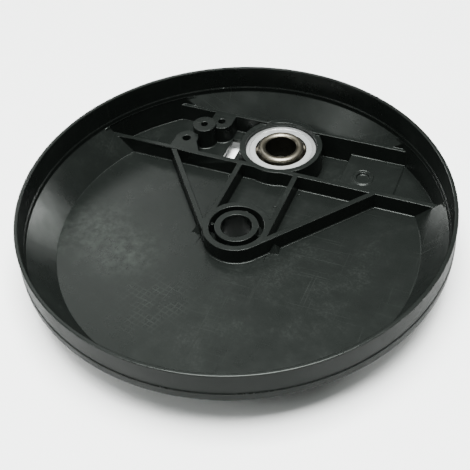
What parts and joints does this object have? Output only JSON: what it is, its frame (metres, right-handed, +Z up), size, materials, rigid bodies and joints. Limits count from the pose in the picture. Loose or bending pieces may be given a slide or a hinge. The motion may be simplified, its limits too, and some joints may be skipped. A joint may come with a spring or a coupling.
{
  "type": "wheel-side cover of a floor cleaning machine",
  "caption": "Round dished plastic cover with ribs, a centre hub and a boss that carries a shielded ball bearing.",
  "frame": {"origin": "hub axis on the plane the cover rests on", "axes": "+Z up along the hub axis, towards the open side; +Y from the hub axis to the bearing axis; +X to the right, towards the raised pad"},
  "size_m": [0.1906, 0.1906, 0.034],
  "materials": {
    "cover_plastic": "fine moulded texture, dusty",
    "bearing_steel": "ground ring faces",
    "inner_ring_steel": "ground, with a thin brownish film of old grease",
    "ball_steel": "polished",
    "cage_steel": "pressed strip, oily",
    "shield_steel": "pressed sheet"
  },
  "bodies": {
    "cover": {"cover": "cover_plastic", "bearing_outer_ring": "bearing_steel", "shield_upper": "shield_steel", "shield_lower": "shield_steel"},
    "inner_ring": {"bearing_inner_ring": "inner_ring_steel"},
    "cage": {"cage_upper": "cage_steel", "cage_lower": "cage_steel", "cage_rivets": "cage_steel", "ball_1": "ball_steel", "ball_2": "ball_steel", "ball_3": "ball_steel", "ball_4": "ball_steel", "ball_5": "ball_steel", "ball_6": "ball_steel", "ball_7": "ball_steel", "ball_8": "ball_steel"}
  },
  "joints": [
    {"name": "inner_ring_turn", "type": "hinge", "parent": "cover", "child": "inner_ring", "pos_m": [0, 0.0584, 0.014], "axis": [0, 0, 1], "continuous": true},
    {"name": "cage_turn", "type": "hinge", "parent": "cover", "child": "cage", "pos_m": [0, 0.0584, 0.0085], "axis": [0, 0, 1], "continuous": true}
  ],
  "couplings": [
    {"joint": "cage_turn", "follows": "inner_ring_turn", "ratio": 0.381}
  ]
}
